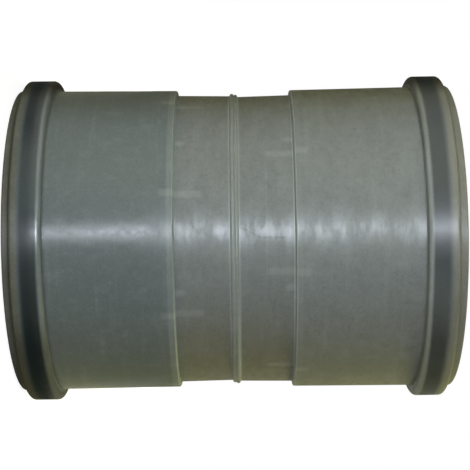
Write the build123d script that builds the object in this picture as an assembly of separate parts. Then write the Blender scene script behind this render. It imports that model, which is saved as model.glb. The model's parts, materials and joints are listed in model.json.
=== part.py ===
from build123d import *
from math import radians, tan
import os

# Double socket coupling for round plastic flue pipe, in millimetres and degrees.
# Two moulded socket halves are butt-welded end to end into one body, and each
# socket holds a rubber lip seal. The axis is Z, and the lower rim stands on z = 0.

# Pipe and sockets
pipe_diameter = 160.0
socket_clearance = 0.3      # between the pipe and the socket bore, on the radius
socket_depth = 82.0         # from the stop shoulder to the rim
socket_wall = 3.5           # at the step, where the socket is thinnest
socket_draft = 0.5          # outside of the socket, wider towards the seal chamber

# Centre tube between the two stop shoulders
stop_from_weld = 37.0       # weld plane to the shoulder that stops the pipe
stop_height = 3.2           # how far the shoulder stands into the socket bore
shoulder_thickness = 5.6    # stop shoulder to the step on the outside
centre_wall = 3.9
centre_draft = 0.95         # the tube narrows towards the weld
step_chamfer = 0.8

# Seal chamber, the raised ring behind each rim
mouth_land = 7.4            # rim to the groove
mouth_wall = 4.45           # wall of the rim itself
rim_chamfer = 0.8           # outer edge of the rim
mouth_chamfer = 1.6         # lead-in for the pipe
groove_width = 10.2
groove_depth = 6.6          # below the socket bore
chamber_crown_wall = 3.3
chamber_back_wall = 3.2     # on the side of the stop
chamber_front_wall = 3.0    # on the side of the rim
crown_back_round = 2.5
crown_front_round = 2.0

# Butt weld, a double roll of melted plastic outside and inside
roll_radius = 1.2
roll_from_weld = 0.98
bead_height_outside = 1.3
bead_height_inside = 1.0

# Ribs behind each stop shoulder
rib_count = 8
rib_width = 3.5
rib_height = 1.0            # at the shoulder
rib_length = 20.5
rib_ramp = 4.0
rib_root = 1.0              # sunk into the wall of the centre tube
lower_rib_turn = 28.4
upper_rib_turn = 12.2

# Lip seal, drawn as it sits round a pipe
seal_clearance = 0.1        # to the groove, all round
seal_seat_width = 8.4       # band that lies on the floor of the groove
seal_base = 2.6
seal_front_height = 3.9     # front face, from the floor to the root of the lip
seal_lip = 1.5              # thickness of the lip at its edge
seal_lip_root = 3.0         # thickness of the lip where it leaves the base
seal_lip_reach = 5.2        # how far the lip leans back towards the stop
seal_lip_round = 0.4        # edge of the lip that rubs on the pipe

# Radii and heights that follow from the sizes above, heights from the weld plane
pipe_radius = pipe_diameter / 2
bore_radius = pipe_radius + socket_clearance
half_length = stop_from_weld + socket_depth
step_height = stop_from_weld - shoulder_thickness
groove_front = half_length - mouth_land
groove_back = groove_front - groove_width
groove_radius = bore_radius + groove_depth
chamber_front = groove_front + chamber_front_wall
chamber_back = groove_back - chamber_back_wall
crown_radius = groove_radius + chamber_crown_wall
rim_radius = bore_radius + mouth_wall
socket_radius = bore_radius + socket_wall
socket_end_radius = socket_radius + (chamber_back - step_height) * tan(radians(socket_draft))
stop_radius = bore_radius - stop_height
centre_radius = stop_radius + centre_wall
weld_outer_radius = centre_radius - step_height * tan(radians(centre_draft))
weld_inner_radius = stop_radius - stop_from_weld * tan(radians(centre_draft))


def revolved(corners):
    """Solid of revolution from (radius, height, rounding) corners of its section."""
    points = [(radius, height) for radius, height, rounding in corners]
    roundings = [rounding for radius, height, rounding in corners]
    outline = FilletPolyline(*points, radius=roundings, close=True)
    return revolve(Plane.XZ * make_face(outline), Axis.Z)


def weld_roll(middle_radius):
    """One roll of the weld bead, a round ring just off the weld plane."""
    section = Plane.XZ * Pos(middle_radius, roll_from_weld) * Circle(roll_radius)
    return revolve(section, Axis.Z)


def stop_rib():
    """One rib on the bore of the centre tube, its ramp towards the weld."""
    rib_start = stop_from_weld - rib_length
    rib_top = stop_radius - rib_height
    rib_foot = stop_radius + rib_root
    side = Polyline(
        (rib_foot, rib_start),
        (stop_radius, rib_start),
        (rib_top, rib_start + rib_ramp),
        (rib_top, stop_from_weld),
        (rib_foot, stop_from_weld),
        close=True,
    )
    return extrude(Plane.XZ * make_face(side), rib_width / 2, both=True)


def socket_half(rib_turn):
    """Half of the body above the weld plane, with its socket, seal groove and ribs."""
    wall = revolved(
        [
            (weld_inner_radius, 0, 0),
            (weld_outer_radius, 0, 0),
            (centre_radius, step_height, 0),
            (socket_radius - step_chamfer, step_height, 0),
            (socket_radius, step_height + step_chamfer, 0),
            (socket_end_radius, chamber_back, 0),
            (crown_radius, chamber_back, crown_back_round),
            (crown_radius, chamber_front, crown_front_round),
            (rim_radius, chamber_front, 0),
            (rim_radius, half_length - rim_chamfer, 0),
            (rim_radius - rim_chamfer, half_length, 0),
            (bore_radius + mouth_chamfer, half_length, 0),
            (bore_radius, half_length - mouth_chamfer, 0),
            (bore_radius, groove_front, 0),
            (groove_radius, groove_front, 0),
            (groove_radius, groove_back, 0),
            (bore_radius, groove_back, 0),
            (bore_radius, stop_from_weld, 0),
            (stop_radius, stop_from_weld, 0),
        ]
    )
    outer_roll = weld_roll(weld_outer_radius + bead_height_outside - roll_radius)
    inner_roll = weld_roll(weld_inner_radius - bead_height_inside + roll_radius)
    rib = Rot(Z=rib_turn) * stop_rib()
    ribs = [Rot(Z=360 / rib_count * turn) * rib for turn in range(rib_count)]
    return wall + [outer_roll, inner_roll] + ribs


def lip_seal():
    """Rubber ring of the upper groove: a base on the groove floor and a lip on the pipe."""
    seat = groove_radius - seal_clearance
    back = groove_back + seal_clearance
    front = groove_front - seal_clearance
    base = seat - seal_base
    lip_root = seat - seal_front_height
    return revolved(
        [
            (seat, back, 0),
            (seat, back + seal_seat_width, 0),
            (base, front, 0),
            (lip_root, front, 0),
            (pipe_radius, front - seal_lip_reach, seal_lip_round),
            (pipe_radius + seal_lip, front - seal_lip_reach - seal_lip, seal_lip_round),
            (base, front - seal_lip_root, 0),
            (base, back, 0),
        ]
    )


def upper(half):
    """Stand a half, or what it holds, on the weld plane."""
    return Pos(0, 0, half_length) * half


def lower(half):
    """Hang a half, or what it holds, under the weld plane."""
    return Pos(0, 0, half_length) * mirror(half, about=Plane.XY)


coupling_body = upper(socket_half(upper_rib_turn)) + lower(socket_half(lower_rib_turn))
nodes = {
    "coupling_body": coupling_body,
    "lower_lip_seal": lower(lip_seal()),
    "upper_lip_seal": upper(lip_seal()),
}

os.makedirs("parts", exist_ok=True)
for name, solid in nodes.items():
    export_step(solid, f"parts/{name}.step")
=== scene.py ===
import json
import math
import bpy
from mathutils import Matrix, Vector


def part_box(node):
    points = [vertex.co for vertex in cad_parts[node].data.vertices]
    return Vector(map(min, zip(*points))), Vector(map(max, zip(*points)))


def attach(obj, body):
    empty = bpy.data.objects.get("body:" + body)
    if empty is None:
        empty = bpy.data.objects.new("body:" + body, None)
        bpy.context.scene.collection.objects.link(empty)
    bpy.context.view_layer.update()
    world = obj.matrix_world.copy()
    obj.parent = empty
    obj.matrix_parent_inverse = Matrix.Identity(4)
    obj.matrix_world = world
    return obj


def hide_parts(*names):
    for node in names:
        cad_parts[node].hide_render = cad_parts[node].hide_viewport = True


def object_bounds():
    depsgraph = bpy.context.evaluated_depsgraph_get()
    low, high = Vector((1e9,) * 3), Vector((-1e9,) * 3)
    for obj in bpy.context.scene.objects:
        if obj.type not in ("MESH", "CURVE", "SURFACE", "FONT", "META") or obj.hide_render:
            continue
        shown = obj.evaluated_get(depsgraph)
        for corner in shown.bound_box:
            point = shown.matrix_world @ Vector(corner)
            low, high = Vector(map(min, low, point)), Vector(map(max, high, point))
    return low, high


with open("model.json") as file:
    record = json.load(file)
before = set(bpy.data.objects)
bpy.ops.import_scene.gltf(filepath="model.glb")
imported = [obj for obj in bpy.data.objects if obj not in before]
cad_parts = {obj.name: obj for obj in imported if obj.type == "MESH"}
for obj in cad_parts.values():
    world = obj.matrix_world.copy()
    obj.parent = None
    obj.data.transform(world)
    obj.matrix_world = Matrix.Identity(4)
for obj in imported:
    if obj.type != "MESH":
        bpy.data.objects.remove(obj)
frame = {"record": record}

from types import SimpleNamespace

import bmesh
import bpy
from bpy.props import FloatProperty, FloatVectorProperty, IntProperty, PointerProperty
from bpy.types import Operator, Panel, PropertyGroup
from mathutils import Matrix, Vector

bl_info = {
    "name": "Double socket coupling",
    "version": (1, 0, 0),
    "blender": (4, 5, 0),
    "location": "3D View > Sidebar > Coupling",
    "description": "A welded double socket coupling of natural plastic with its two lip seals",
    "category": "Add Mesh",
}

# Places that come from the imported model, in metres. The axis of the coupling is Z.
mm = 0.001
cad_low, cad_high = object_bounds()
weld_height = (cad_low.z + cad_high.z) / 2
half_length = cad_high.z - weld_height
crown_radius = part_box("coupling_body")[1].x
seal_low, seal_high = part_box("upper_lip_seal")
seal_seat_radius = seal_high.x
seal_back = seal_low.z - weld_height
seal_front = seal_high.z - weld_height
socket = next(m for m in frame["record"]["mounts"] if m["name"] == "upper_socket")
bore_radius = socket["dims"]["r_mm"] * mm
stop_from_weld = socket["pos_m"][2] - socket["dims"]["length_mm"] * mm / 2 - weld_height
groove_back = socket["pos_m"][2] + socket["dims"]["length_mm"] * mm / 2 - weld_height

touch = mm / 100        # two points closer than this are one
tube_arc = 79           # millimetres round the centre tube for one radian
least_roughness = 0.28  # on smoother plastic the render draws dark ticks into the gloss


def length(name, description, size):
    """A size in millimetres that the user can change."""
    return FloatProperty(name=name, description=description, default=size * mm, min=0.0,
                         unit="LENGTH", subtype="DISTANCE", precision=5)


def angle(name, description, size):
    """An angle in degrees that the user can change."""
    return FloatProperty(name=name, description=description, default=math.radians(size),
                         unit="ROTATION", subtype="ANGLE")


def share(name, description, size, high=1.0):
    """A plain share or level that the user can change."""
    return FloatProperty(name=name, description=description, default=size, min=0.0, max=high,
                         subtype="FACTOR")


def power(name, size):
    """The power of a lamp, in watts."""
    return FloatProperty(name=name, description="Power", default=size, min=0.0, unit="POWER")


def colour(name, description, red, green, blue):
    """A colour the user can change, from its 0 to 255 picture values."""
    parts = [c / 255 for c in (red, green, blue)]
    linear = [c / 12.92 if c <= 0.04045 else ((c + 0.055) / 1.055) ** 2.4 for c in parts]
    return FloatVectorProperty(name=name, description=description, default=linear, size=3,
                               min=0.0, max=1.0, subtype="COLOR")


class CouplingSizes(PropertyGroup):
    """Sizes of the welded body."""
    socket_wall: length("Socket wall", "Wall of the socket at the step", 3.5)
    socket_draft: angle("Socket draft", "Taper of the outside of the socket", 0.5)
    stop_height: length("Stop height", "How far the shoulder stands into the bore", 3.2)
    shoulder: length("Shoulder", "Stop shoulder to the step on the outside", 5.6)
    centre_wall: length("Centre wall", "Wall of the tube between the stops", 3.9)
    centre_draft: angle("Centre draft", "Taper of the centre tube to the weld", 0.95)
    mouth_wall: length("Mouth wall", "Wall of the rim", 4.45)
    mouth_chamfer: length("Mouth chamfer", "Lead-in for the pipe", 1.6)
    groove_width: length("Groove width", "Width of the seal groove", 10.2)
    groove_depth: length("Groove depth", "Depth of the groove below the bore", 6.6)
    chamber_back_wall: length("Chamber back wall", "Wall behind the groove", 3.2)
    chamber_front_wall: length("Chamber front wall", "Wall before the groove", 3.0)
    crown_back_round: length("Crown back rounding", "Ring edge on the weld's side", 2.5)
    crown_front_round: length("Crown front rounding", "Ring edge on the rim's side", 2.0)
    edge_round: length("Edge rounding", "Step and rim edges", 0.8)
    root_round: length("Root rounding", "Inside corners", 0.5)
    fine_round: length("Fine rounding", "Edges and corners of bore and groove", 0.3)
    roll_radius: length("Roll radius", "Rolls of the weld bead", 1.2)
    roll_from_weld: length("Roll from weld", "Middle of a roll to the weld plane", 0.98)
    bead_outside: length("Bead outside", "Height of the outer bead", 1.3)
    bead_inside: length("Bead inside", "Height of the inner bead", 1.0)
    bead_waviness: length("Bead waviness", "Unevenness of the melted bead", 0.45)
    weld_offset: length("Weld offset", "Upper half out of line at the weld", 0.5)
    rib_count: IntProperty(name="Ribs", description="Ribs behind each stop", default=8, min=1)
    rib_height: length("Rib height", "Height of a rib at the shoulder", 1.0)
    rib_length: length("Rib length", "Shoulder to the foot of the ramp", 20.5)
    rib_ramp: length("Rib ramp", "Length of the ramp of a rib", 4.0)
    lower_rib_turn: angle("Lower rib turn", "Turn of the lower half's ribs", 28.45)
    upper_rib_turn: angle("Upper rib turn", "Turn of the upper half's ribs", 12.2)
    steps: IntProperty(name="Steps", description="Faces round the body", default=288, min=24)


class SealSizes(PropertyGroup):
    """Sizes of a lip seal, drawn as it sits round a pipe."""
    seat_width: length("Seat width", "Band on the floor of the groove", 8.4)
    base: length("Base", "Thickness of the base", 2.6)
    front_height: length("Front height", "Floor to the root of the lip", 3.9)
    lip: length("Lip", "Thickness of the lip at its edge", 1.5)
    lip_root: length("Lip root", "Thickness of the lip at the base", 3.0)
    lip_reach: length("Lip reach", "How far the lip leans back", 5.2)
    lip_gap: length("Lip gap", "Edge of the lip inside the bore radius", 0.3)
    corner_round: length("Corner rounding", "Edges of the rubber", 0.4)
    steps: IntProperty(name="Steps", description="Faces round a seal", default=216, min=24)


class CouplingFinish(PropertyGroup):
    """Colours of the plastic and the rubber. Some of them also paint light and shade."""
    natural: colour("Natural plastic", "Thin wall over the dark bore", 117, 120, 118)
    deep: colour("Deep plastic", "Greener tone of the lower socket", 88, 99, 100)
    # Also painted shade: the warm, darker edges along the two sides towards -X and +X
    yellowed_and_edge_shade: colour("Aged plastic", "Yellowed tint of the two sides", 112, 106, 78)
    # On the rims olive and brown mix by height: the lower rim is painted darker and browner than
    # the upper one, as painted shade
    olive: colour("Olive plastic", "Broad clouds in the wall, and the upper rim", 116, 113, 98)
    brown: colour("Brown plastic", "Dark mottling, and the lower rim", 66, 63, 46)
    # Also painted light: the step faces, the feet and valley of the bead and the back of the upper
    # ring are painted paler over the shade the lamps leave there
    milky: colour("Milky plastic", "Thick places that scatter more light", 150, 155, 148)
    # How far it shows is changed round the crown by painted reflection and painted shade
    behind_seal: colour("Seal behind the wall", "Crown with the black seal behind it", 13, 25, 28)
    # Grime, and painted shade: in the inside corners, along a crease and on the shaded sides of
    # the rings
    dirt_and_shade: colour("Dirt", "Grime in corners and on the rings", 38, 29, 10)
    scuff: colour("Scuffs", "Fine pale scratches", 176, 182, 178)
    rubber: colour("Rubber", "Black seal rubber", 30, 30, 31)
    rubber_bloom: colour("Rubber bloom", "Grey bloom on the rubber", 74, 74, 73)
    scatter_depth: length("Scatter depth", "How deep light gets into the plastic", 3.0)
    scatter_share: share("Scatter share", "How milky the plastic is", 0.35)
    gloss: share("Gloss", "Specular level of the plastic", 0.5)
    grain: share("Stretched gloss", "How far the highlight runs along the axis", 0.8)


class StageSettings(PropertyGroup):
    """Lamps and camera."""
    lens: FloatProperty(name="Lens", description="Focal length", default=103.4, min=1.0,
                        unit="CAMERA")
    distance: length("Camera distance", "Camera to the axis", 769.96)
    roll: angle("Roll", "Rise of the axis across the picture", 0.741)
    yaw: angle("Yaw", "Turn of the upper end to the camera", 0.207)
    across: length("Camera across", "Camera above the middle of the axis in the picture", 1.69)
    along: length("Camera along", "Camera past the weld towards the upper end", 2.69)
    key: power("Key lamp", 4.0)
    high: power("High lamp", 3.0)
    top: power("Top lamp", 0.6)
    bounce: power("Bounce", 2.8)
    back: power("Back lamp", 7.0)
    fill: share("Fill", "World light on the object", 0.04, 2.0)
    floor_lift: share("Floor lift", "White the camera sees on the floor besides its light", 0.90)


class Channel:
    """A value or colour on a finish sheet. Operators on values add Math nodes."""

    def __init__(self, sheet, output):
        self.sheet, self.output = sheet, output

    def _math(self, operation, *values):
        settings = {"operation": operation}
        return self.sheet.node("ShaderNodeMath", settings, dict(enumerate(values)))

    def __add__(self, other):
        return self._math("ADD", self, other)

    def __radd__(self, other):
        return self._math("ADD", other, self)

    def __sub__(self, other):
        return self._math("SUBTRACT", self, other)

    def __rsub__(self, other):
        return self._math("SUBTRACT", other, self)

    def __mul__(self, other):
        return self._math("MULTIPLY", self, other)

    def __rmul__(self, other):
        return self._math("MULTIPLY", other, self)

    def __truediv__(self, other):
        return self._math("DIVIDE", self, other)

    def __pow__(self, other):
        return self._math("POWER", self, other)

    def __abs__(self):
        return self._math("ABSOLUTE", self)


class FinishSheet:
    """A node tree that is filled in from Python."""

    def __init__(self, tree):
        self.tree = tree
        tree.nodes.clear()

    def node(self, kind, settings=None, sockets=None, out=0):
        """Add a node: its settings first, then its sockets by name or number."""
        made = self.tree.nodes.new(kind)
        for name, value in (settings or {}).items():
            setattr(made, name, value)
        for key, value in (sockets or {}).items():
            if isinstance(value, Channel):
                self.tree.links.new(value.output, made.inputs[key])
            else:
                made.inputs[key].default_value = value
        return Channel(self, made.outputs[out]) if len(made.outputs) else None

    def rise(self, value, low, high):
        """0 below low, 1 above high and smooth between them. With low above high it falls."""
        return self.node("ShaderNodeMapRange", {"interpolation_type": "SMOOTHSTEP"},
                         {"Value": value, "From Min": low, "From Max": high})

    def band(self, value, low, high, soft):
        """1 between low and high, with soft edges."""
        into = self.rise(value, low - soft, low + soft)
        return into * (1 - self.rise(value, high - soft, high + soft))

    def tint(self, base, other, amount):
        """Base colour turned towards another by an amount from 0 to 1."""
        return self.node("ShaderNodeMix", {"data_type": "RGBA"}, {0: amount, 6: base, 7: other}, 2)

    def stretch(self, x, y, z):
        """Coordinates for a pattern, from three values."""
        return self.node("ShaderNodeCombineXYZ", None, {0: x, 1: y, 2: z})

    def clouds(self, place, scale, detail=3.0, roughness=0.55):
        """Soft uneven pattern around 0.5."""
        return self.node("ShaderNodeTexNoise", {"noise_dimensions": "3D"},
                         {"Vector": place, "Scale": scale, "Detail": detail,
                          "Roughness": roughness})

    def relief(self, height):
        """A bumped normal, from a height in millimetres."""
        return self.node("ShaderNodeBump", None,
                         {"Strength": 1.0, "Distance": mm, "Height": height})


def finish_material(name):
    """A new material and its empty sheet."""
    material = bpy.data.materials.new(name)
    material.use_nodes = True
    return material, FinishSheet(material.node_tree)


def total(*rows):
    """Sum of named channels, each times its weight."""
    return sum(channel * weight for name, channel, weight in rows)


def key_places(sizes, unit=1.0):
    """Radii, and heights from the weld plane, for shapes and finish. In metres, or in a unit."""
    groove_front = groove_back + sizes.groove_width
    places = {
        "rib_foot": stop_from_weld - sizes.rib_length,
        "step": stop_from_weld - sizes.shoulder,
        "stop": stop_from_weld,
        "chamber_back": groove_back - sizes.chamber_back_wall,
        "groove_back": groove_back,
        "groove_front": groove_front,
        "chamber_front": groove_front + sizes.chamber_front_wall,
        "stop_radius": bore_radius - sizes.stop_height,
        "rim_radius": bore_radius + sizes.mouth_wall,
        "crown_radius": crown_radius,
    }
    return SimpleNamespace(**{name: size / unit for name, size in places.items()})


def wall_places(sheet, body):
    """Where a point of the body lies, in millimetres from the axis and the weld plane."""
    rise = sheet.rise
    place = sheet.node("ShaderNodeTexCoord", out="Object")
    x, y, height = [sheet.node("ShaderNodeSeparateXYZ", None, {0: place}, axis) * (1 / mm)
                    for axis in "XYZ"]
    z = height - weld_height / mm
    from_weld = abs(z)
    radius = (x * x + y * y) ** 0.5
    upper = rise(z, -0.4, 0.4)

    # Middle of the wall, first of the centre tube and then of the socket
    tube_middle, socket_middle = 78.9, 82.4
    past_step = rise(from_weld, body.step - 0.4, body.step + 1.6)
    middle = tube_middle + (socket_middle - tube_middle) * past_step

    # Shaded sides of the rings, of both towards -X and of the lower one towards +X as well
    ring_side = rise(x, -74, -86) * 0.9 + rise(x, 32, 62) * (1 - upper) * 0.85
    return SimpleNamespace(
        place=place, x=x, y=y, z=z, radius=radius, from_weld=from_weld, upper=upper,
        turn=sheet.node("ShaderNodeMath", {"operation": "ARCTAN2"}, {0: y, 1: x}),
        outside=rise(radius - middle, -0.5, 0.5),
        ring_side=ring_side * rise(radius, body.rim_radius + 0.05, body.rim_radius + 1.75))


def wall_patterns(sheet, at):
    """Uneven tones, streaks and scratches of the moulded wall."""
    rise, clouds = sheet.rise, sheet.clouds

    def drawn_out(across, along, detail=3.0):
        """A pattern with its own scale per millimetre across and along the axis."""
        place = sheet.stretch(at.x * across, at.y * across, at.z * along)
        return clouds(place, 1.0, detail, 0.6)

    blotch = clouds(at.place, 95.0, 4.0, 0.6)
    scratches = rise(drawn_out(1.6, 0.035), 0.66, 0.74) + rise(drawn_out(0.03, 1.8), 0.67, 0.75)
    return SimpleNamespace(
        broad=clouds(at.place, 22.0, 2.0),
        ripple=clouds(at.place, 55.0, 2.0, 0.5),
        blotch=blotch,
        mottle=clouds(at.place, 240.0, 4.0, 0.65),
        speck=clouds(at.place, 900.0, 2.0, 0.5),
        flow=drawn_out(0.02, 0.25, 4.0),
        streak=drawn_out(0.12, 0.7),
        patch=drawn_out(0.05, 0.12),
        scuffs=scratches * rise(blotch, 0.45, 0.7))


def pale_places(sheet, at, body, sizes):
    """Thick places of the wall, pale marks on it, the upper socket a little paler, and painted
    light on the step faces, the feet and valley of the bead and the back of the upper ring, where
    the lamps leave shade. Each by how milky it looks.
    """
    rise, band = sheet.rise, sheet.band
    z, from_weld, upper = at.z, at.from_weld, at.upper
    step, ring = body.step, body.chamber_back
    rib_turn = sizes.lower_rib_turn + (sizes.upper_rib_turn - sizes.lower_rib_turn) * upper
    half_pitch = math.pi / sizes.rib_count
    off_rib = abs(sheet.node("ShaderNodeMath", {"operation": "WRAP"},
                             {0: at.turn - rib_turn, 1: half_pitch, 2: -half_pitch})) * tube_arc
    along_ribs = band(from_weld, body.rib_foot + 0.1, body.stop + 1.5, 1.3)

    def spot(degrees, along):
        across = (at.turn - math.radians(degrees)) * tube_arc
        past = z - along
        return 1 - rise(across * across / 3 + past * past / 8, 0.0, 1.8)

    spots = sum(spot(degrees, along) for degrees, along in (
        (-128.2, -28.5), (-70, -28.5), (-129.5, 28.5), (-71.6, 28.5)))
    near_arc = band(at.turn, math.radians(-116), math.radians(-75), 0.06)
    return at.outside * total(
        ("shoulder", band(from_weld, step + 0.9, step + 3.5, 0.5), 0.22 - 0.12 * upper),
        # Thicker strip; on the upper ring painted paler still, as painted light over its shade
        ("back of the ring", band(from_weld, ring - 0.2, ring + 2.2, 0.5), 0.14 + 0.20 * upper),
        ("bead", 1 - rise(from_weld, 2.4, 3.6), 0.30),
        # Feet and valley of the bead: painted light over the bead's own shade
        ("feet of the bead", band(from_weld, 1.9, 2.9, 0.4), 0.35),
        ("valley of the bead", 1 - rise(from_weld, 0.1, 0.5), 0.35),
        ("ribs", (1 - rise(off_rib, 0.9, 2.8)) * along_ribs, 0.30),
        # Step faces: painted light over the shade on them
        ("lower step", band(z, -step - 0.7, 0.3 - step, 0.25), 0.5),
        ("upper step", band(z, step - 1.1, step + 0.8, 0.3), 0.75),
        ("upper socket", rise(z, step - 0.4, step + 2.6), 0.06),
        ("spots", spots, 0.38),
        ("faint ring", band(z, body.rib_foot - 0.4, body.rib_foot + 0.4, 0.3) * near_arc, 0.18))


def dark_places(sheet, at, body):
    """Grime and painted shade where two faces meet, painted shade along a crease on the near side,
    and painted shade on the shaded sides of the rings.
    """
    rise, band = sheet.rise, sheet.band
    foot = body.rim_radius
    ring_root = band(at.from_weld, body.chamber_back - 1.0, body.chamber_back + 0.1, 0.25)
    rim_root = band(at.from_weld, body.chamber_front - 0.2, body.chamber_front + 0.8, 0.25)
    crease_x = 5.1 * rise(at.z, 2, 15) - 5.3
    crease = band(at.x - crease_x, -0.45, 0.45, 0.4) * band(at.z, 3.0, 26.0, 1.5)
    grime_and_painted_shade = at.outside * total(
        # Roots of the ring and the rim: grime and painted shade in the inside corners
        ("root of the ring", ring_root * (1 - rise(at.radius, foot + 0.25, foot + 1.25)),
         0.315 - 0.14 * at.upper),
        ("root of the rim", rim_root * (1 - rise(at.radius, foot + 0.45, foot + 1.65)), 0.385),
        # Painted shade along a crease on the near side
        ("crease", crease * rise(at.y, -60, -70), 0.35))
    # Painted shade on the shaded sides of the rings, weaker towards +X
    return grime_and_painted_shade + at.ring_side * (1 - 0.35 * rise(at.x, -10, 10))


def seal_shown_and_painted_reflection(sheet, at, body):
    """How far the black seal shows through the crown, changed on its way round by painted
    reflection and painted shade.
    """
    rise, band, x = sheet.rise, sheet.band, at.x
    back, front, crown = body.groove_back, body.groove_front, body.crown_radius
    along = rise(at.from_weld, back - 1.9, back + 0.3)
    along = along * (1 - rise(at.from_weld, front - 3.8, front + 0.2))
    # Painted on the crown: the lower ring darker towards +X as painted shade and paler towards -X
    # as a painted reflection; the upper ring paler all round, and paler still towards +X as a
    # painted reflection
    lower_change = 0.10 * rise(x, 25, 60) - 0.22 * band(x, -52, -18, 9)
    upper_change = 0.13 + 0.17 * band(x, 20, 48, 10)
    amount = 0.87 + lower_change * (1 - at.upper) - upper_change * at.upper
    return along * rise(at.radius, crown - 1.8, crown - 0.6) * amount


def plastic_shade(sheet, at, uneven, body, sizes, finish):
    """Colour of the plastic, from the plain wall to what lies on it and behind it, with painted
    light and shade.
    """
    rise = sheet.rise
    x, z, upper = at.x, at.z, at.upper
    natural, deep, yellowed_and_edge_shade, olive, brown, milky, behind_seal, dirt_and_shade, scuff = [
        (*getattr(finish, name), 1.0) for name in (
            "natural", "deep", "yellowed_and_edge_shade", "olive", "brown", "milky", "behind_seal", "dirt_and_shade", "scuff")]
    # Yellowed sides, painted stronger towards -X and +X as warm painted shade along those edges,
    # and the rims with no seal behind them
    sides = rise(x, 18, 68) * (1.25 - 0.35 * rise(z, 28, 34)) + rise(x, -60, -82) * 1.4
    front = rise(at.from_weld, body.groove_front - 2.0, body.groove_front + 0.4)
    dark_grain = total(
        ("mottle", rise(uneven.mottle, 0.52, 0.25), 0.20),
        ("speck", rise(uneven.speck, 0.5, 0.3), 0.12))
    pale_grain = total(
        ("blotch", rise(uneven.blotch, 0.5, 0.8), 0.17),
        ("flow", rise(uneven.flow, 0.5, 0.8), 0.15),
        ("mottle", rise(uneven.mottle, 0.5, 0.75), 0.13),
        ("speck", rise(uneven.speck, 0.5, 0.7), 0.09))
    shade = natural
    for tone, amount in (
        (olive, rise(uneven.broad, 0.35, 0.75) * 0.20),
        (yellowed_and_edge_shade, sides * at.outside * 0.50),
        (brown, dark_grain),
        (deep, (1 - rise(z, -38, -24)) * at.outside * 0.6),
        # The lower rim painted darker than the upper one: painted shade
        (sheet.tint(brown, olive, 0.5 + 0.5 * upper), front * at.outside * 0.85),
        # Thick places and pale grain, with painted light on the step faces, the bead and the back
        # of the upper ring
        (milky, pale_places(sheet, at, body, sizes) + pale_grain),
        # Grime and painted shade in corners, along the crease and on the shaded sides of the rings
        (dirt_and_shade, dark_places(sheet, at, body)),
        # The seal through the crown, with painted reflection and shade
        (behind_seal, seal_shown_and_painted_reflection(sheet, at, body)),
        (scuff, uneven.scuffs * 0.18),
    ):
        shade = sheet.tint(shade, tone, amount)
    return shade


def plastic_gloss(sheet, at, uneven, body):
    """Roughness and coat. The lower socket kept its gloss, and the rest is hazy from handling."""
    rise, z = sheet.rise, at.z
    hazy = rise(z, -50, -34)
    crown = rise(at.radius, body.crown_radius - 2.7, body.crown_radius - 0.7)
    roughness = least_roughness + total(
        ("haze", hazy, 0.24),
        ("blotch", rise(uneven.blotch, 0.35, 0.75), 0.06),
        ("mottle", rise(uneven.mottle, 0.35, 0.65), 0.08),
        ("scuffs", uneven.scuffs, 0.1),
        ("front of the lower ring", rise(z, -100, -106), 0.22),
        ("shaded ring", at.ring_side, 0.25))
    rubbed = 0.12 + total(
        ("patch", rise(uneven.patch, 0.40, 0.62), 0.32),
        ("streak", rise(uneven.streak, 0.46, 0.66), 0.12))
    on_wall = hazy * rubbed * (1.4 - 0.4 * rise(at.from_weld, 28, 34)) * (1 - crown)
    on_crown = crown * (0.8 - 0.35 * at.upper) * rise(z, -106, -101) * (1 - at.ring_side)
    return roughness, on_wall + on_crown


def natural_plastic(sizes, finish):
    """Milky natural plastic: what lies behind the wall shows as paler and darker bands."""
    material, sheet = finish_material("natural_polypropylene")
    body = key_places(sizes, mm)
    at = wall_places(sheet, body)
    uneven = wall_patterns(sheet, at)
    roughness, polish = plastic_gloss(sheet, at, uneven, body)
    height = total(
        ("ripple", uneven.ripple, 0.05),
        ("flow", uneven.flow, 0.008),
        ("mottle", uneven.mottle, 0.003),
        ("speck", uneven.speck, 0.0008))
    surface = sheet.node("ShaderNodeBsdfPrincipled", None, {
        "Base Color": plastic_shade(sheet, at, uneven, body, sizes, finish),
        "Roughness": roughness,
        "Normal": sheet.relief(height),
        "IOR": 1.49,
        "Specular IOR Level": finish.gloss,
        "Anisotropic": finish.grain,
        "Anisotropic Rotation": 0.25,
        "Coat Weight": polish,
        "Coat Roughness": least_roughness,
        "Subsurface Weight": finish.scatter_share,
        "Subsurface Radius": (1.0, 0.95, 0.8),
        "Subsurface Scale": finish.scatter_depth,
    })
    sheet.node("ShaderNodeOutputMaterial", None, {"Surface": surface})
    return material


def seal_rubber(finish):
    """Matte black rubber with a faint grey bloom and moulding grain."""
    material, sheet = finish_material("black_rubber")
    place = sheet.node("ShaderNodeTexCoord", out="Object")
    bloom = sheet.clouds(place, 70.0, 4.0, 0.6)
    grain = sheet.clouds(place, 1500.0, 3.0, 0.6)
    greyed = total(
        ("bloom", sheet.rise(bloom, 0.45, 0.8), 0.30),
        ("grain", sheet.rise(grain, 0.55, 0.8), 0.10))
    surface = sheet.node("ShaderNodeBsdfPrincipled", None, {
        "Base Color": sheet.tint((*finish.rubber, 1.0), (*finish.rubber_bloom, 1.0), greyed),
        "Roughness": 0.52 + 0.25 * bloom,
        "Normal": sheet.relief(grain * 0.02 + bloom * 0.05),
        "Specular IOR Level": 0.4,
    })
    sheet.node("ShaderNodeOutputMaterial", None, {"Surface": surface})
    return material


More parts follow.
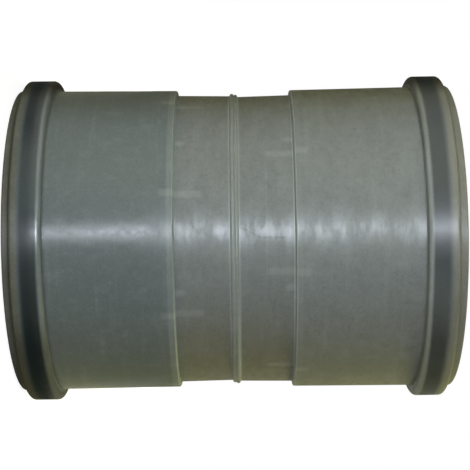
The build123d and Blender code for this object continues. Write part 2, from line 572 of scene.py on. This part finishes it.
def pick(piece, kind, test):
    """In edit mode, select just the vertices, edges or faces whose middle passes the test."""
    bpy.context.tool_settings.mesh_select_mode = [kind == k for k in ("verts", "edges", "faces")]
    mesh = bmesh.from_edit_mesh(piece.data)
    for part in (*mesh.verts, *mesh.edges, *mesh.faces):
        part.select = False
    found = 0
    for part in getattr(mesh, kind):
        middle = part.co if kind == "verts" else (
            sum((v.co for v in part.verts), Vector()) / len(part.verts))
        if test(middle, part):
            part.select_set(True)
            found += 1
    bmesh.update_edit_mesh(piece.data)
    if not found:
        raise RuntimeError(f"nothing to select on {piece.name}")


def trace(name, corners, closed):
    """Draw a section on the XZ plane, a vertex extruded from corner to corner, then round it."""
    def at_corner(*corners_here):
        pick(piece, "verts", lambda at, vert: any(
            (at - corner).length < touch for corner in corners_here))

    bpy.ops.object.select_all(action="DESELECT")
    bpy.ops.mesh.primitive_plane_add(size=mm)
    piece = bpy.context.object
    piece.name = piece.data.name = name
    bpy.ops.object.mode_set(mode="EDIT")
    bpy.ops.mesh.merge(type="CENTER")
    points = [Vector((radius, 0, height)) for radius, height, rounding in corners]
    bpy.ops.transform.translate(value=points[0])
    for last, point in zip(points, points[1:]):
        bpy.ops.mesh.extrude_region_move(TRANSFORM_OT_translate={"value": point - last})
    if closed:
        at_corner(points[0], points[-1])
        bpy.ops.mesh.edge_face_add()
    for point, (radius, height, rounding) in zip(points, corners):
        if rounding:
            at_corner(point)
            segments = 3 if rounding < 0.6 * mm else 4 if rounding < 1.5 * mm else 7
            bpy.ops.mesh.bevel(offset=rounding, segments=segments, profile=0.5, affect="VERTICES")
    return piece


def spin_round(piece, steps):
    """Turn the section once round the axis."""
    bpy.ops.mesh.select_all(action="SELECT")
    bpy.ops.mesh.spin(steps=steps, angle=math.tau, center=(0, 0, 0), axis=(0, 0, 1))
    bpy.ops.mesh.select_all(action="SELECT")
    bpy.ops.mesh.remove_doubles(threshold=touch / 2)


def weld_roll(sizes, wall, height, side):
    """One roll of the bead, from the valley on the weld plane to its foot on the wall."""
    roll = sizes.roll_radius
    middle = wall + side * (height - roll)
    start = math.acos(-sizes.roll_from_weld / roll)
    end = -math.asin((height - roll) / roll)
    steps = 9
    turns = [start + (end - start) * step / steps for step in range(steps + 1)]
    return [(middle + side * roll * math.sin(t), sizes.roll_from_weld + roll * math.cos(t), 0)
            for t in turns]


def half_section(sizes):
    """Corners of one moulded half, as radius, height above the weld plane and rounding."""
    fine, root, edge = sizes.fine_round, sizes.root_round, sizes.edge_round
    body = key_places(sizes)
    step, stop, rim = body.step, body.stop_radius, body.rim_radius
    groove = bore_radius + sizes.groove_depth
    socket_start = bore_radius + sizes.socket_wall
    socket_end = socket_start + (body.chamber_back - step) * math.tan(sizes.socket_draft)
    centre = stop + sizes.centre_wall
    taper = math.tan(sizes.centre_draft)
    chamfer = sizes.mouth_chamfer
    outer_roll = weld_roll(sizes, centre - step * taper, sizes.bead_outside, 1)
    inner_roll = weld_roll(sizes, stop - stop_from_weld * taper, sizes.bead_inside, -1)

    # Rows of the bore from which the ribs are raised, from the stop to the foot of the ramp
    rib_rows = [stop_from_weld - 1.5 * root, stop_from_weld - sizes.rib_length / 2,
                body.rib_foot + 1.4 * sizes.rib_ramp, body.rib_foot]
    return [
        *outer_roll,
        (centre, step, root),
        (socket_start, step, edge),
        (socket_end, body.chamber_back, root),
        (crown_radius, body.chamber_back, sizes.crown_back_round),
        (crown_radius, body.chamber_front, sizes.crown_front_round),
        (rim, body.chamber_front, root),
        (rim, half_length, edge),
        (bore_radius + chamfer, half_length, fine),
        (bore_radius, half_length - chamfer, fine),
        (bore_radius, body.groove_front, fine),
        (groove, body.groove_front, fine),
        (groove, groove_back, fine),
        (bore_radius, groove_back, fine),
        (bore_radius, stop_from_weld, root),
        (stop, stop_from_weld, root),
        *[(stop - (stop_from_weld - row) * taper, row, 0) for row in rib_rows],
        *reversed(inner_roll),
    ]


def mould_half(sizes):
    """One half of the body: its section spun round, and the ribs raised from the bore."""
    piece = trace("moulded_body", half_section(sizes), closed=False)
    long_run = 20 * mm
    pick(piece, "edges", lambda at, edge: edge.calc_length() > long_run)
    bpy.ops.mesh.subdivide(number_cuts=6)
    spin_round(piece, sizes.steps)
    body = key_places(sizes)
    stop, low, high = body.stop_radius, body.rib_foot, stop_from_weld - sizes.root_round
    column = math.tau / sizes.steps
    pitch = math.tau / sizes.rib_count

    # A rib is two columns of faces wide
    def on_rib(at, face):
        off = (math.atan2(at.y, at.x) + pitch / 2) % pitch - pitch / 2
        inside = math.hypot(at.x, at.y) < stop + 0.1 * mm
        return inside and low < at.z < high and abs(off) < column * 1.2

    pick(piece, "faces", on_rib)
    bpy.ops.mesh.extrude_region()
    squeeze = 1 - sizes.rib_height / stop
    bpy.ops.transform.resize(value=(squeeze, squeeze, 1), center_override=(0, 0, 0))
    raised = stop - 0.7 * sizes.rib_height
    pick(piece, "verts", lambda at, vert: (
        abs(at.z - low) < 5 * touch and math.hypot(at.x, at.y) < raised))
    bpy.ops.transform.translate(value=(0, 0, sizes.rib_ramp))
    bpy.ops.object.mode_set(mode="OBJECT")
    return piece


def turn_mesh(turned, flipped):
    """Turn the active mesh, flip it if wanted, and lift it to the weld plane."""
    bpy.ops.object.mode_set(mode="EDIT")
    bpy.ops.mesh.select_all(action="SELECT")
    bpy.ops.transform.rotate(value=-turned, orient_axis="Z", center_override=(0, 0, 0))
    if flipped:
        bpy.ops.transform.resize(value=(1, 1, -1), center_override=(0, 0, 0))
    bpy.ops.transform.translate(value=(0, 0, weld_height))
    bpy.ops.object.mode_set(mode="OBJECT")


def only(piece):
    """Select one piece and make it active."""
    bpy.ops.object.select_all(action="DESELECT")
    piece.select_set(True)
    bpy.context.view_layer.objects.active = piece


def flipped_copy(upper, lower_turn=0, upper_turn=0):
    """Copy a piece to below the weld plane, and lift the piece itself to above it."""
    only(upper)
    bpy.ops.object.duplicate()
    lower = bpy.context.object
    turn_mesh(lower_turn, flipped=True)
    only(upper)
    turn_mesh(upper_turn, flipped=False)
    return lower


def close_up(piece):
    """Merge doubles and turn every face outwards."""
    only(piece)
    bpy.ops.object.mode_set(mode="EDIT")
    bpy.ops.mesh.select_all(action="SELECT")
    bpy.ops.mesh.remove_doubles(threshold=touch)
    bpy.ops.mesh.normals_make_consistent(inside=False)
    bpy.ops.object.mode_set(mode="OBJECT")


def smooth(piece):
    """Smooth shading with crisp edges, true on the flat runs between roundings."""
    only(piece)
    bpy.ops.object.shade_smooth_by_angle(angle=math.radians(35))
    weighted = piece.modifiers.new("True faces", "WEIGHTED_NORMAL")
    weighted.keep_sharp = True
    bpy.ops.object.modifier_apply(modifier=weighted.name)


def place_piece(piece, material, node):
    """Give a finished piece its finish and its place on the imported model."""
    piece.data.materials.clear()
    piece.data.materials.append(material)
    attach(piece, "root")
    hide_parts(node)


class CouplingBody(Operator):
    """Mould two socket halves and weld them end to end"""
    bl_idname = "mesh.coupling_body"
    bl_label = "Welded body"

    def execute(self, context):
        sizes = context.scene.coupling_sizes
        upper = mould_half(sizes)
        lower = flipped_copy(upper, sizes.lower_rib_turn, sizes.upper_rib_turn)
        lower.select_set(True)
        bpy.ops.object.join()
        body = context.object
        close_up(body)
        self.shift_weld(body, sizes)
        self.roughen_bead(body, sizes)
        smooth(body)
        place_piece(body, natural_plastic(sizes, context.scene.coupling_finish),
                    "coupling_body")
        return {"FINISHED"}

    def shift_weld(self, body, sizes):
        """The upper half was welded a little out of line, which fades towards its rim."""
        bpy.ops.object.mode_set(mode="EDIT")
        pick(body, "verts", lambda at, vert: at.z < weld_height - touch)
        bpy.ops.mesh.hide(unselected=False)
        bead_top = weld_height + (sizes.roll_from_weld + sizes.roll_radius)
        pick(body, "verts", lambda at, vert: not vert.hide and at.z < bead_top)
        bpy.ops.transform.translate(
            value=(sizes.weld_offset, 0, 0), use_proportional_edit=True,
            proportional_edit_falloff="LINEAR", proportional_size=half_length)
        bpy.ops.mesh.reveal(select=False)
        bpy.ops.object.mode_set(mode="OBJECT")

    def roughen_bead(self, body, sizes):
        """The rolls of the bead swell and thin a little on their way round."""
        reach = sizes.roll_from_weld + sizes.roll_radius * 0.9
        group = body.vertex_groups.new(name="bead")
        for vert in body.data.vertices:
            off = abs(vert.co.z - weld_height)
            if off < reach:
                group.add([vert.index], math.cos(off / reach * math.pi / 2), "REPLACE")
        uneven = bpy.data.textures.new("melted_bead", "CLOUDS")
        uneven.noise_scale = 9 * mm
        uneven.noise_depth = 2
        swell = body.modifiers.new("Melted bead", "DISPLACE")
        swell.texture = uneven
        swell.texture_coords = "LOCAL"
        swell.vertex_group = group.name
        swell.strength = sizes.bead_waviness
        only(body)
        bpy.ops.object.modifier_apply(modifier=swell.name)


class CouplingSeals(Operator):
    """Mould a lip seal and seat one in each groove"""
    bl_idname = "mesh.coupling_seals"
    bl_label = "Lip seals"

    def execute(self, context):
        seal = context.scene.seal_sizes
        base = seal_seat_radius - seal.base
        lip_edge = bore_radius - seal.lip_gap
        lip_height = seal_front - seal.lip_reach
        corner = seal.corner_round
        corners = [
            (seal_seat_radius, seal_back, corner),
            (seal_seat_radius, seal_back + seal.seat_width, corner),
            (base, seal_front, corner),
            (seal_seat_radius - seal.front_height, seal_front, corner),
            (lip_edge, lip_height, corner),
            (lip_edge + seal.lip, lip_height - seal.lip, corner),
            (base, seal_front - seal.lip_root, corner),
            (base, seal_back, corner),
        ]
        upper = trace("upper_rubber_ring", corners, closed=True)
        spin_round(upper, seal.steps)
        bpy.ops.object.mode_set(mode="OBJECT")
        lower = flipped_copy(upper)
        lower.name = lower.data.name = "lower_rubber_ring"
        rubber = seal_rubber(context.scene.coupling_finish)
        for ring, node in ((upper, "upper_lip_seal"), (lower, "lower_lip_seal")):
            close_up(ring)
            smooth(ring)
            place_piece(ring, rubber, node)
        return {"FINISHED"}


class CouplingStage(Operator):
    """Set up the pale floor, the lamps and the camera"""
    bl_idname = "scene.coupling_stage"
    bl_label = "Stage"

    def execute(self, context):
        stage = context.scene.coupling_stage
        context.scene.view_settings.view_transform = "Standard"
        self.lay_floor(stage)
        self.light_world(context, stage)
        self.hang_lamps(stage)
        self.stand_camera(context, stage)
        return {"FINISHED"}

    def seen_rays(self, sheet, way, start, open_to=1.0):
        """1 for what the camera sees, directly or through something clear.

        The gloss shows that white too, above and before the coupling and weakly behind it,
        between darker sides.
        """
        bright_before, bright_behind = (-0.79, -0.61, 0.0), (0.50, 0.87, 0.0)
        behind_share = 0.15
        camera, glossy, clear = [sheet.node("ShaderNodeLightPath", out=f"Is {kind} Ray")
                                 for kind in ("Camera", "Glossy", "Transmission")]
        before, behind = [sheet.node("ShaderNodeVectorMath", {"operation": "DOT_PRODUCT"},
                                     {0: way, 1: bright_way}, "Value")
                          for bright_way in (bright_before, bright_behind)]
        bright = sheet.rise(before, start, 0.97) + sheet.rise(behind, 0.88, 0.98) * behind_share
        return sheet.node("ShaderNodeMath", {"operation": "ADD", "use_clamp": True},
                          {0: camera + clear, 1: glossy * bright * open_to})

    def lay_floor(self, stage):
        """A broad pale floor under the lower rim."""
        bpy.ops.object.select_all(action="DESELECT")
        bpy.ops.mesh.primitive_circle_add(vertices=64, radius=4.0, fill_type="NGON")
        floor = bpy.context.object
        floor.name = "floor"
        bpy.ops.object.mode_set(mode="EDIT")
        bpy.ops.mesh.select_all(action="SELECT")
        bpy.ops.mesh.inset(thickness=2.0)
        bpy.ops.object.mode_set(mode="OBJECT")
        material, sheet = finish_material("pale_floor")
        place = sheet.node("ShaderNodeTexCoord", out="Object")
        dull, pale = (0.26, 0.26, 0.25, 1), (0.30, 0.30, 0.29, 1)
        paint = sheet.tint(dull, pale, sheet.clouds(place, 6.0))
        matte = sheet.node("ShaderNodeBsdfDiffuse", None, {"Color": paint})
        way = sheet.node("ShaderNodeVectorMath", {"operation": "NORMALIZE"}, {0: place}, "Vector")
        distance = sheet.node("ShaderNodeVectorMath", {"operation": "LENGTH"}, {0: place}, "Value")
        seen = self.seen_rays(sheet, way, 0.7, sheet.rise(distance, 0.12, 0.175))
        far = sheet.rise(distance, 0.3, 1.2) * (1 - stage.floor_lift)
        lift = sheet.node("ShaderNodeEmission", None,
                          {"Strength": seen * (far + stage.floor_lift)})
        surface = sheet.node("ShaderNodeAddShader", None, {0: matte, 1: lift})
        sheet.node("ShaderNodeOutputMaterial", None, {"Surface": surface})
        material.cycles.emission_sampling = "NONE"
        floor.data.materials.append(material)

    def light_world(self, context, stage):
        """White all round for the eye, and a low warm fill on the object."""
        world = bpy.data.worlds.new("pale_room")
        world.use_nodes = True
        context.scene.world = world
        sheet = FinishSheet(world.node_tree)
        fill = sheet.node("ShaderNodeBackground", None,
                          {"Color": (1.0, 0.95, 0.78, 1), "Strength": stage.fill})
        white = sheet.node("ShaderNodeBackground", None, {"Color": (1, 1, 1, 1), "Strength": 1.0})
        way = sheet.node("ShaderNodeTexCoord", out="Generated")
        surface = sheet.node("ShaderNodeMixShader", None,
                             {0: self.seen_rays(sheet, way, 0.1), 1: fill, 2: white})
        sheet.node("ShaderNodeOutputWorld", None, {"Surface": surface})

    def hang_lamps(self, stage):
        """A narrow key strip that shows in the gloss, and four soft lamps that do not."""
        cool, plain = (0.92, 1.0, 1.13), (1.0, 0.99, 0.95)
        yellow, warm = (0.97, 1.0, 0.50), (0.99, 1.0, 0.46)
        strip, before_strip = (-0.075, -0.80, 0.22), (-0.075, 0.20, 0.22)
        middle = (0, 0, weld_height)
        for lamp in (
            ("key_lamp", strip, before_strip, (0.05, 0.40), stage.key, cool, True),
            ("high_lamp", (-0.80, -0.72, 0.42), middle, (0.6, 0.6), stage.high, yellow, False),
            ("top_lamp", (0.0, -0.50, 1.0), middle, (0.7, 0.7), stage.top, plain, False),
            ("bounce_lamp", (0.38, 0.18, 0.46), middle, (0.3, 0.3), stage.bounce, warm, False),
            ("back_lamp", (0.0, 1.1, 0.45), middle, (0.6, 0.6), stage.back, plain, False),
        ):
            self.hang_lamp(*lamp)

    def hang_lamp(self, name, place, target, size, watts, tone, mirrored):
        """A soft rectangular lamp that faces its target, and may show in the gloss."""
        bpy.ops.object.select_all(action="DESELECT")
        turned = (Vector(target) - Vector(place)).to_track_quat("-Z", "Y").to_euler()
        bpy.ops.object.light_add(type="AREA", location=place, rotation=turned)
        lamp = bpy.context.object
        lamp.name = name
        lamp.data.shape = "RECTANGLE"
        lamp.data.size, lamp.data.size_y = size
        lamp.data.energy = watts
        lamp.data.color = tone
        lamp.visible_camera = False
        lamp.visible_glossy = mirrored

    def stand_camera(self, context, stage):
        """The camera lies on its side: the upper end of the coupling is to the right."""
        bpy.ops.object.camera_add()
        camera = context.object
        camera.name = "camera"
        camera.data.lens = stage.lens
        camera.data.sensor_width = 36.0
        camera.data.clip_start = 0.01
        camera.data.clip_end = 50.0
        right = Vector((math.sin(stage.roll), math.sin(stage.yaw), 1)).normalized()
        ahead = Vector((0, 1, -math.sin(stage.yaw))).normalized()
        up = right.cross(ahead).normalized()
        right = ahead.cross(up)
        at = Vector((-stage.across, -stage.distance, weld_height + stage.along))
        turned = Matrix((right, up, -ahead)).transposed().to_4x4()
        camera.matrix_world = Matrix.Translation(at) @ turned
        context.scene.camera = camera


class CouplingPanel(Panel):
    """Sizes, finish and stage of the coupling"""
    bl_idname = "VIEW3D_PT_coupling"
    bl_label = "Double socket coupling"
    bl_space_type = "VIEW_3D"
    bl_region_type = "UI"
    bl_category = "Coupling"

    def draw(self, context):
        scene = context.scene
        for operator, group in (
            (CouplingStage, scene.coupling_stage),
            (CouplingBody, scene.coupling_sizes),
            (CouplingSeals, scene.seal_sizes),
            (None, scene.coupling_finish),
        ):
            box = self.layout.box()
            if operator:
                box.operator(operator.bl_idname)
            for name in group.__annotations__:
                box.prop(group, name)


groups = {
    "coupling_sizes": CouplingSizes,
    "seal_sizes": SealSizes,
    "coupling_finish": CouplingFinish,
    "coupling_stage": StageSettings,
}
classes = (*groups.values(), CouplingStage, CouplingBody, CouplingSeals, CouplingPanel)


def register():
    for kind in classes:
        bpy.utils.register_class(kind)
    for name, kind in groups.items():
        setattr(bpy.types.Scene, name, PointerProperty(type=kind))


def unregister():
    for name in groups:
        delattr(bpy.types.Scene, name)
    for kind in reversed(classes):
        bpy.utils.unregister_class(kind)


def main():
    register()
    bpy.ops.scene.coupling_stage()
    bpy.ops.mesh.coupling_body()
    bpy.ops.mesh.coupling_seals()


if __name__ == "__main__":
    main()
